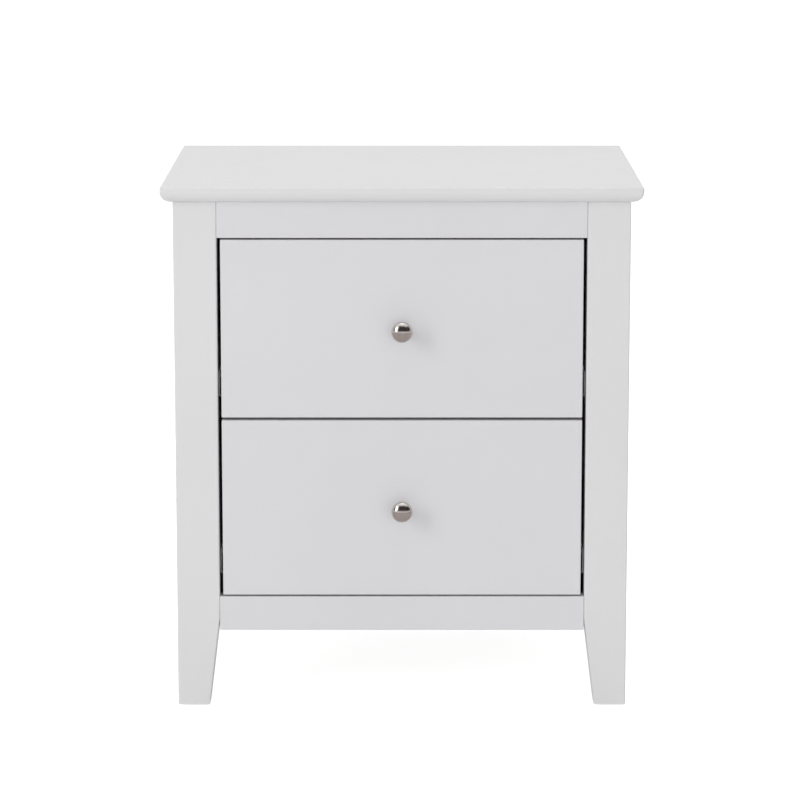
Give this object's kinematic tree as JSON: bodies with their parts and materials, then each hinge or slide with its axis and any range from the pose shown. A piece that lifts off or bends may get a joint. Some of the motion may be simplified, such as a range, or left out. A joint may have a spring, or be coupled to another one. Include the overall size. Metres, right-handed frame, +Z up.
{
  "type": "nightstand",
  "caption": "White square-legged nightstand with tapered feet, a moulded top and inset drawers on roller slides with round knobs, for keeping things beside a bed.",
  "frame": {"origin": "on the floor, below the centre of the whole width and depth, knobs included", "axes": "+Z up, -Y out of the front, the way the drawers open, +X to the right as seen from the front"},
  "size_m": [0.5, 0.4144, 0.556],
  "materials": {
    "white_paint": "satin white paint over wood and board",
    "drawer_board": "pale lacquered plywood",
    "batten_wood": "planed pine",
    "back_board": "white-faced hardboard",
    "dowel_wood": "plain beech",
    "slide_enamel": "off-white enamel on rolled steel",
    "roller_nylon": "natural white nylon",
    "glide_nylon": "grey nylon",
    "zinc_steel": "bright zinc plate",
    "satin_nickel": "satin nickel plate"
  },
  "bodies": {
    "carcass": {"back_panel": "back_board", "bottom_back_rail": "white_paint", "bottom_front_rail": "white_paint", "bottom_panel": "back_board", "carcass_dowels": "dowel_wood", "carcass_roller_axles": "zinc_steel", "carcass_small_screws": "zinc_steel", "cleat_screws": "zinc_steel", "foot_glides": "glide_nylon", "front_left_post": "white_paint", "front_right_post": "white_paint", "left_side_panel": "white_paint", "lower_left_batten": "batten_wood", "lower_left_carcass_slide": "slide_enamel", "lower_right_batten": "batten_wood", "lower_right_carcass_slide": "slide_enamel", "rear_left_post": "white_paint", "rear_right_post": "white_paint", "right_side_panel": "white_paint", "top_back_cleat": "batten_wood", "top_back_rail": "white_paint", "top_front_cleat": "batten_wood", "top_front_rail": "white_paint", "top_panel": "white_paint", "upper_left_batten": "batten_wood", "upper_left_carcass_slide": "slide_enamel", "upper_right_batten": "batten_wood", "upper_right_carcass_slide": "slide_enamel"},
    "upper_drawer": {"upper_drawer_back": "drawer_board", "upper_drawer_bottom": "drawer_board", "upper_drawer_dowels": "dowel_wood", "upper_drawer_front": "white_paint", "upper_drawer_knob": "satin_nickel", "upper_drawer_knob_screw": "zinc_steel", "upper_drawer_left_runner": "slide_enamel", "upper_drawer_left_side": "drawer_board", "upper_drawer_right_runner": "slide_enamel", "upper_drawer_right_side": "drawer_board", "upper_drawer_roller_axles": "zinc_steel", "upper_drawer_runner_screws": "zinc_steel"},
    "lower_drawer": {"lower_drawer_back": "drawer_board", "lower_drawer_bottom": "drawer_board", "lower_drawer_dowels": "dowel_wood", "lower_drawer_front": "white_paint", "lower_drawer_knob": "satin_nickel", "lower_drawer_knob_screw": "zinc_steel", "lower_drawer_left_runner": "slide_enamel", "lower_drawer_left_side": "drawer_board", "lower_drawer_right_runner": "slide_enamel", "lower_drawer_right_side": "drawer_board", "lower_drawer_roller_axles": "zinc_steel", "lower_drawer_runner_screws": "zinc_steel"},
    "lower_drawer_left_roller": {"lower_drawer_left_roller": "roller_nylon"},
    "lower_drawer_right_roller": {"lower_drawer_right_roller": "roller_nylon"},
    "lower_left_front_roller": {"lower_left_front_roller": "roller_nylon"},
    "lower_right_front_roller": {"lower_right_front_roller": "roller_nylon"},
    "upper_drawer_left_roller": {"upper_drawer_left_roller": "roller_nylon"},
    "upper_drawer_right_roller": {"upper_drawer_right_roller": "roller_nylon"},
    "upper_left_front_roller": {"upper_left_front_roller": "roller_nylon"},
    "upper_right_front_roller": {"upper_right_front_roller": "roller_nylon"}
  },
  "joints": [
    {"name": "upper_drawer_slide", "type": "slide", "parent": "carcass", "child": "upper_drawer", "axis": [0, -1, 0], "range_m": [0, 0.265]},
    {"name": "upper_left_front_roller_spin", "type": "hinge", "parent": "carcass", "child": "upper_left_front_roller", "pos_m": [-0.1925, -0.14625, 0.3517], "axis": [1, 0, 0], "range_deg": [0, 1321]},
    {"name": "upper_drawer_left_roller_spin", "type": "hinge", "parent": "upper_drawer", "child": "upper_drawer_left_roller", "pos_m": [-0.18, 0.16975, 0.3445], "axis": [1, 0, 0], "range_deg": [0, 1321]},
    {"name": "upper_right_front_roller_spin", "type": "hinge", "parent": "carcass", "child": "upper_right_front_roller", "pos_m": [0.1925, -0.14625, 0.3517], "axis": [1, 0, 0], "range_deg": [0, 1321]},
    {"name": "upper_drawer_right_roller_spin", "type": "hinge", "parent": "upper_drawer", "child": "upper_drawer_right_roller", "pos_m": [0.18, 0.16975, 0.3445], "axis": [1, 0, 0], "range_deg": [0, 1321]},
    {"name": "lower_drawer_slide", "type": "slide", "parent": "carcass", "child": "lower_drawer", "axis": [0, -1, 0], "range_m": [0, 0.265]},
    {"name": "lower_left_front_roller_spin", "type": "hinge", "parent": "carcass", "child": "lower_left_front_roller", "pos_m": [-0.1925, -0.14625, 0.1611], "axis": [1, 0, 0], "range_deg": [0, 1321]},
    {"name": "lower_drawer_left_roller_spin", "type": "hinge", "parent": "lower_drawer", "child": "lower_drawer_left_roller", "pos_m": [-0.18, 0.16975, 0.1539], "axis": [1, 0, 0], "range_deg": [0, 1321]},
    {"name": "lower_right_front_roller_spin", "type": "hinge", "parent": "carcass", "child": "lower_right_front_roller", "pos_m": [0.1925, -0.14625, 0.1611], "axis": [1, 0, 0], "range_deg": [0, 1321]},
    {"name": "lower_drawer_right_roller_spin", "type": "hinge", "parent": "lower_drawer", "child": "lower_drawer_right_roller", "pos_m": [0.18, 0.16975, 0.1539], "axis": [1, 0, 0], "range_deg": [0, 1321]}
  ],
  "couplings": [
    {"joint": "upper_left_front_roller_spin", "follows": "upper_drawer_slide", "rad_per_m": 86.957},
    {"joint": "upper_drawer_left_roller_spin", "follows": "upper_drawer_slide", "rad_per_m": 86.957},
    {"joint": "upper_right_front_roller_spin", "follows": "upper_drawer_slide", "rad_per_m": 86.957},
    {"joint": "upper_drawer_right_roller_spin", "follows": "upper_drawer_slide", "rad_per_m": 86.957},
    {"joint": "lower_left_front_roller_spin", "follows": "lower_drawer_slide", "rad_per_m": 86.957},
    {"joint": "lower_drawer_left_roller_spin", "follows": "lower_drawer_slide", "rad_per_m": 86.957},
    {"joint": "lower_right_front_roller_spin", "follows": "lower_drawer_slide", "rad_per_m": 86.957},
    {"joint": "lower_drawer_right_roller_spin", "follows": "lower_drawer_slide", "rad_per_m": 86.957}
  ]
}
